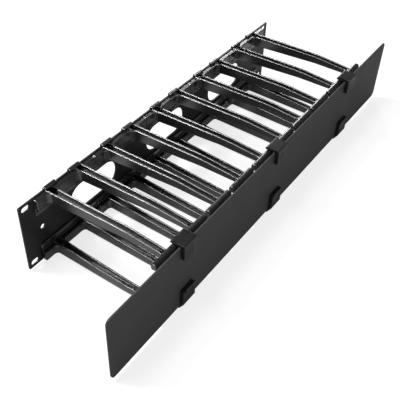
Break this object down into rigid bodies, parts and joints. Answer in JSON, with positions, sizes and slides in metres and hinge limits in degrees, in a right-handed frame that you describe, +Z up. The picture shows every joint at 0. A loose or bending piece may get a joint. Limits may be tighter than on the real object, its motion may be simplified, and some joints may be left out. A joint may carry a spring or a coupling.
{
  "type": "horizontal cable manager",
  "caption": "Two-unit rack panel with rows of T-ended cable fingers above and below, passage windows and a hinged front cover.",
  "frame": {"origin": "middle of the four rack slots, on the rear face of the back panel", "axes": "+X along the panel, +Y towards the rack rails, away from the cover, +Z up"},
  "size_m": [0.59, 0.1664, 0.0936],
  "materials": {
    "back_panel": "satin black powder coat",
    "cover": "satin black powder coat, fine texture",
    "finger_modules": "moulded black plastic, satin",
    "cover_clips": "moulded black plastic, satin"
  },
  "bodies": {
    "frame": {"back_panel": "back_panel", "top_finger_module_1": "finger_modules", "top_finger_module_2": "finger_modules", "top_finger_module_3": "finger_modules", "top_finger_module_4": "finger_modules", "top_finger_module_5": "finger_modules", "bottom_finger_module_1": "finger_modules", "bottom_finger_module_2": "finger_modules", "bottom_finger_module_3": "finger_modules", "bottom_finger_module_4": "finger_modules", "bottom_finger_module_5": "finger_modules"},
    "cover": {"cover_plate": "cover", "top_cover_clip_1": "cover_clips", "top_cover_clip_2": "cover_clips", "top_cover_clip_3": "cover_clips", "bottom_cover_clip_1": "cover_clips", "bottom_cover_clip_2": "cover_clips", "bottom_cover_clip_3": "cover_clips"}
  },
  "joints": [
    {"name": "cover_hinge", "type": "hinge", "parent": "frame", "child": "cover", "pos_m": [0, -0.152, 0.0388], "axis": [-1, 0, 0], "range_deg": [0, 105]}
  ]
}
